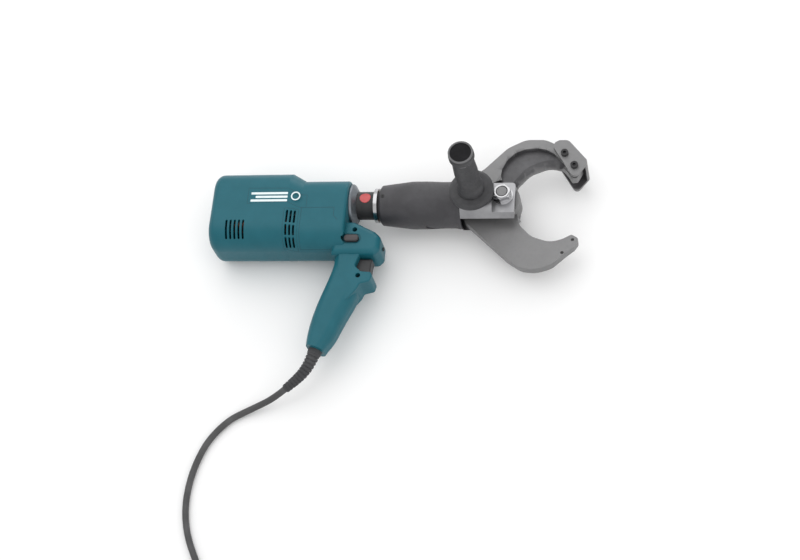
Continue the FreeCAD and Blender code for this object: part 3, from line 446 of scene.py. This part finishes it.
def mains_cord():
    """The whole cord as one curve, from the guard's tip through the coil and into the plug."""
    points = RUN + coil_points() + LEAD
    data = bpy.data.curves.new("mains_cord", "CURVE")
    data.dimensions = "3D"
    data.bevel_depth = CORD_RADIUS * MM
    data.bevel_resolution = 5
    data.resolution_u = 4
    data.use_fill_caps = True
    spline = data.splines.new("NURBS")
    spline.points.add(len(points) - 1)
    for knot, point in zip(spline.points, points):
        knot.co = (*tool(*point), 1)
    spline.order_u = 3
    spline.use_endpoint_u = True
    cord = bpy.data.objects.new("mains_cord", data)
    bpy.context.collection.objects.link(cord)
    data.materials.append(LOOKS["cord_rubber"])
    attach(cord, "motor_unit")
    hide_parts("power_cord", "cord_coil", "plug_lead")


# ---------------------------------------------------------------- meshes
def add_mesh(name, corners, faces, look, body, sharp_above):
    """New piece on a body, smooth except along edges that turn more than sharp_above degrees."""
    mesh = bpy.data.meshes.new(name)
    mesh.from_pydata(corners, [], faces)
    mesh.validate()
    piece = bpy.data.objects.new(name, mesh)
    bpy.context.collection.objects.link(piece)
    mesh.materials.append(look)
    smooth_by_angle(piece, sharp_above)
    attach(piece, body)
    return piece


def tube(name, line, radii, look, sides=28):
    """Closed round bar of the motor unit along a line of points, with a radius at each point."""
    corners = []
    faces = []
    side = None
    for index, point in enumerate(line):
        along = (line[min(index + 1, len(line) - 1)] - line[max(index - 1, 0)]).normalized()
        if side is None:
            side = along.orthogonal().normalized()
        side = (side - along * side.dot(along)).normalized()
        other = along.cross(side)
        for turn in range(sides):
            angle = 2 * math.pi * turn / sides
            reach = side * math.cos(angle) + other * math.sin(angle)
            corners.append(tool(*(point + reach * radii[index])))
    for ring in range(len(line) - 1):
        for turn in range(sides):
            a = ring * sides + turn
            b = ring * sides + (turn + 1) % sides
            faces.append((a, b, b + sides, a + sides))
    faces.append(tuple(reversed(range(sides))))
    faces.append(tuple(range((len(line) - 1) * sides, len(line) * sides)))
    return add_mesh(name, corners, faces, look, "motor_unit", 40)


def plate(name, outline, low, high, look, body):
    """Flat piece from an outline of (x, y) points, between two heights."""
    count = len(outline)
    corners = [tool(x, y, low) for x, y in outline] + [tool(x, y, high) for x, y in outline]
    faces = [tuple(reversed(range(count))), tuple(range(count, 2 * count))]
    for index in range(count):
        follow = (index + 1) % count
        faces.append((index, follow, follow + count, index + count))
    return add_mesh(name, corners, faces, look, body, 30)


def ring_mesh(name, x, y, z, outer, inner, height, look, body, sides=48):
    """Flat ring whose underside is at height z."""
    corners = []
    faces = []
    for radius, level in ((inner, z), (outer, z), (outer, z + height), (inner, z + height)):
        for turn in range(sides):
            angle = 2 * math.pi * turn / sides
            corners.append(tool(x + radius * math.cos(angle), y + radius * math.sin(angle), level))
    for band in range(4):
        for turn in range(sides):
            a = band * sides + turn
            b = band * sides + (turn + 1) % sides
            faces.append((a, b, (b + sides) % (4 * sides), (a + sides) % (4 * sides)))
    return add_mesh(name, corners, faces, look, body, 30)


def pill(x0, x1, y0, y1, radius, steps=6):
    """Outline of a rectangle with round corners, counter-clockwise."""
    points = []
    for cx, cy, start in ((x1 - radius, y0 + radius, -90), (x1 - radius, y1 - radius, 0),
                          (x0 + radius, y1 - radius, 90), (x0 + radius, y0 + radius, 180)):
        for step in range(steps + 1):
            angle = math.radians(start + 90 * step / steps)
            points.append((cx + radius * math.cos(angle), cy + radius * math.sin(angle)))
    return points


def disc(x, y, radius, sides=40):
    """Outline of a round face."""
    return [(x + radius * math.cos(2 * math.pi * turn / sides),
             y + radius * math.sin(2 * math.pi * turn / sides)) for turn in range(sides)]


# ---------------------------------------------------------------- cord guard
GUARD_STEPS = 44                      # rings of the mesh for each point of the axis
FLANGE_LENGTH = 9.0
FLANGE_RADIUS = 8.6
GUARD_WIDE = 8.4                      # radius where the taper begins
GUARD_TAPER = 2.9                     # how much slimmer the far end is
GUARD_TIP = 5.2
RIB_PITCH = 4.4
RIB_DEPTH = 0.9
RIB_GAP = (0.64, 0.94)                # share of the pitch where the groove lies


def ribbed_relief():
    """Tapered cord guard with a flange and ribs that get slimmer towards its tip."""
    line = smooth_line(GUARD_AXIS, GUARD_STEPS)
    whole = arc_length(line)
    radii = []
    gone = 0.0
    for index, point in enumerate(line):
        if index:
            gone += (point - line[index - 1]).length
        wave = (gone - FLANGE_LENGTH) / RIB_PITCH % 1.0
        dip = RIB_DEPTH if RIB_GAP[0] < wave < RIB_GAP[1] else 0.0
        slope = GUARD_WIDE - GUARD_TAPER * gone / whole
        radii.append(FLANGE_RADIUS if gone < FLANGE_LENGTH else slope - dip)
    radii[-1] = GUARD_TIP
    piece = tube("cord_guard", line, radii, LOOKS["soft_rubber"])
    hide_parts("strain_relief")


# ---------------------------------------------------------------- housing details
# The barrel's section is a rounded rectangle: half width, low side, top side, corner radius.
REAR_SECTION = (38.0, -68.5, 36.7, 28.0)
FRONT_SECTION = (34.0, -69.5, 27.3, 26.0)
SLOPE = (-90.0, -73.0)                # ends of the slope between the two sections
GROOVE_STEP = 2.0                     # distance between a groove's points
GROOVE_SINK = 0.1                     # how far a groove's middle lies under the skin
FINE_GROOVE = 0.25
PANEL_GROOVE = 0.3

BAR_LEFT = (-137.0, -131.0, -137.0)   # left ends of the three printed bars
BAR_RIGHT = -90.0
BAR_PITCH = 5.0
BAR_LOW = -2.6                        # sides of the first bar
BAR_HIGH = 0.4
PRINT_THICK = 0.06
PRINT_SINK = 0.1
RING_PLACE = (-79.8, -5.0, 37.2)
RING_OUTER = 6.0
RING_INNER = 4.4
RING_DEPTH = 0.5                      # the ring is flat, so it stands clear of the sloping skin

BUTTON = (-7.1, -56.7)
PAD_HALF = (8.2, 3.5)
PAD_CORNER = 3.0
PAD_HEIGHTS = (25.1, 25.6)


def slope_share(x):
    """0 on the barrel's rear section, 1 on its front section."""
    return min(max((x - SLOPE[0]) / (SLOPE[1] - SLOPE[0]), 0.0), 1.0)


def skin(x, run, lift=0.0):
    """Point on the barrel's near side: run is the distance down from the top end of the flat."""
    share = slope_share(x)
    half, low, top, corner = [a + (b - a) * share for a, b in zip(REAR_SECTION, FRONT_SECTION)]
    flat_top = top - corner
    flat_low = low + corner
    if run < 0:
        angle = -run / corner
        return (x, flat_top + (corner + lift) * math.sin(angle),
                half - corner + (corner + lift) * math.cos(angle))
    if run <= flat_top - flat_low:
        return (x, flat_top - run, half + lift)
    angle = (run - flat_top + flat_low) / corner
    return (x, flat_low - (corner + lift) * math.sin(angle),
            half - corner + (corner + lift) * math.cos(angle))


def down(x, y):
    """The skin's run at a height y of the flat."""
    rear = REAR_SECTION[2] - REAR_SECTION[3]
    front = FRONT_SECTION[2] - FRONT_SECTION[3]
    return rear + (front - rear) * slope_share(x) - y


def groove(name, corners, radius, closed=True):
    """Thin line of painted shade that lies in the barrel's skin, through (x, run) corners."""
    path = []
    ends = corners + corners[:1] if closed else corners
    for (x0, r0), (x1, r1) in zip(ends, ends[1:]):
        count = max(2, int(math.hypot(x1 - x0, r1 - r0) / GROOVE_STEP))
        for index in range(count):
            t = index / count
            path.append(Vector(skin(x0 + (x1 - x0) * t, r0 + (r1 - r0) * t, -GROOVE_SINK)))
    path.append(Vector(skin(*ends[-1], -GROOVE_SINK)))
    tube(name, path, [radius] * len(path), GROOVE_SHADE, 8)


def housing_marks():
    """Grooves of the moulding drawn as lines of painted shade, and a plain printed device in place
    of the lettering.
    """
    label = [(-141, down(-141, 6.5)), (-66, 3.0), (-66, 20.5), (-141, down(-141, -15))]
    groove("label_groove", label, FINE_GROOVE)
    vents = [(-92.3, 31.0), (-74.6, 24.5), (-74.6, 84.0), (-92.3, 88.0)]
    groove("vent_groove", vents, FINE_GROOVE)
    panel_corner = (-71.5, 20.6)
    panel = [panel_corner, (-30.0, 20.6), (-30.0, 32.0), (-24.5, 37.5)]
    groove("panel_groove_top", panel, PANEL_GROOVE, closed=False)
    panel = [panel_corner, (-71.5, 78.0), (-33.0, 78.0)]
    groove("panel_groove_low", panel, PANEL_GROOVE, closed=False)
    flat = REAR_SECTION[0]
    for index, left in enumerate(BAR_LEFT):
        drop = BAR_PITCH * index
        bar = pill(left, BAR_RIGHT, BAR_LOW - drop, BAR_HIGH - drop, 0.6)
        plate("print_bar_" + "abc"[index], bar, flat - PRINT_SINK, flat + PRINT_THICK, PRINT,
              "motor_unit")
    ring_mesh("print_ring", *RING_PLACE, RING_OUTER, RING_INNER, RING_DEPTH, PRINT, "motor_unit")


def button_face():
    """Soft pad let into the changeover button."""
    (x, y), (along, across) = BUTTON, PAD_HALF
    pad = pill(x - along, x + along, y - across, y + across, PAD_CORNER)
    plate("button_pad", pad, *PAD_HEIGHTS, PAD, "button")


# ---------------------------------------------------------------- head details
LIP_MARGIN = 0.6                      # the lip's outer edge inside the cap's edge
LIP_WIDTH = 2.0
LIP_SINK = 0.6                        # the lip's underside below the cap's top
LIP_HEIGHT = 1.4
END_GAP = 0.2                         # between the painted-shade face and the lip
END_SINK = 0.3                        # the painted-shade face's underside below the cap's top
END_RISE = 0.1
BOLT_FACE = 6.2
BOLT_SINK = 0.3
BOLT_RISE = 0.15
THREAD_INNER = 6.4                    # painted shade: dark ring between the bolt's face and the nut
THREAD_OUTER = 8.0
THREAD_SINK = 0.5
THREAD_HEIGHT = 0.7


def crown(node):
    """Middle of a CAD node's top."""
    low, high = span(node)
    middle = ((low + high) / 2 - ZERO) / MM
    return middle.x, middle.y, (high.z - ZERO.z) / MM


def handle_end():
    """Pale lip round the end of the side handle's cap, with a dark disc of painted shade for its
    hollow end.
    """
    x, y, top = crown("handle_cap")
    low, high = span("handle_cap")
    outer = (high.x - low.x) / 2 / MM - LIP_MARGIN
    inner = outer - LIP_WIDTH
    ring_mesh("cap_lip", x, y, top - LIP_SINK, outer, inner, LIP_HEIGHT, LIP, "head")
    # Painted shade: a dark disc on the cap's end stands for the shade in its hollow.
    plate("cap_end", disc(x, y, inner - END_GAP), top - END_SINK, top + END_RISE, PAINTED_SHADE, "head")


def bolt_end():
    """Dull end of the pivot bolt inside its bright nut, with a ring of painted shade in the gap
    between them.
    """
    x, y, top = crown("pivot_bolt")
    plate("bolt_end", disc(x, y, BOLT_FACE), top - BOLT_SINK, top + BOLT_RISE,
          LOOKS["blackened_steel"], "head")
    # Painted shade: a dark ring for the shade in the gap round the bolt's thread.
    ring_mesh("thread_shade", x, y, top - THREAD_SINK, THREAD_OUTER, THREAD_INNER, THREAD_HEIGHT,
              PAINTED_SHADE, "head")


# ---------------------------------------------------------------- stage
VIEW_RIGHT = Vector((0.9796, 0.0858, -0.1807))
VIEW_UP = Vector((0.0, 0.9034, 0.4288))
DISTANCE = 2.0
PICTURE_WIDTH = 1.0                   # width of the view at the tool, in metres
SENSOR = 36.0
AIM_RIGHT = 43.75 * MM                # from the tool's zero to the middle of the view
AIM_DOWN = 92.5 * MM
LAMPS = [                             # name, place, size, power in watts
    ("key", (-0.5, 0.7, 1.5), 2.0, 11),
    ("fill", (0.9, -0.9, 1.2), 2.0, 8),
    ("rim", (0.2, 1.4, 0.5), 0.8, 4),
]
LAMP_TARGET = Vector((0, 0, 0.05))
FLOOR_SIZE = 12
WORLD_STRENGTH = 0.85


def set_camera():
    right = VIEW_RIGHT.normalized()
    up = (VIEW_UP - right * VIEW_UP.dot(right)).normalized()
    back = right.cross(up)
    camera = bpy.data.objects.new("camera", bpy.data.cameras.new("camera"))
    bpy.context.collection.objects.link(camera)
    camera.data.sensor_width = SENSOR
    camera.data.lens = DISTANCE * SENSOR / PICTURE_WIDTH
    aim = ZERO + right * AIM_RIGHT - up * AIM_DOWN
    turn = Matrix((right, up, back)).transposed().to_4x4()
    camera.matrix_world = Matrix.Translation(aim + back * DISTANCE) @ turn
    bpy.context.scene.camera = camera


def add_lamp(name, place, size, power):
    light = bpy.data.lights.new(name, "AREA")
    light.energy = power
    light.size = size
    lamp = bpy.data.objects.new(name, light)
    bpy.context.collection.objects.link(lamp)
    lamp.location = place
    lamp.rotation_mode = "QUATERNION"
    lamp.rotation_quaternion = (LAMP_TARGET - Vector(place)).to_track_quat("-Z", "Y")


def set_stage():
    bpy.ops.mesh.primitive_plane_add(size=FLOOR_SIZE, location=(0, 0, CAD_LOW.z))
    floor = bpy.context.object
    floor.name = "floor"
    paper = Surface("paper", (0.9, 0.9, 0.9), 0.9, specular=0.1)
    paper.blotch((0.88, 0.88, 0.88), 3, 0.4, 0.7, 0.5)
    floor.data.materials.append(paper.done())
    world = bpy.data.worlds.new("studio")
    bpy.context.scene.world = world
    world.use_nodes = True
    world.node_tree.nodes["Background"].inputs["Color"].default_value = (1, 1, 1, 1)
    world.node_tree.nodes["Background"].inputs["Strength"].default_value = WORLD_STRENGTH
    for lamp in LAMPS:
        add_lamp(*lamp)
    bpy.context.scene.view_settings.view_transform = "Standard"
    bpy.context.scene.view_settings.exposure = 0.0


dress_cad()
mains_cord()
ribbed_relief()
housing_marks()
button_face()
handle_end()
bolt_end()
set_camera()
set_stage()
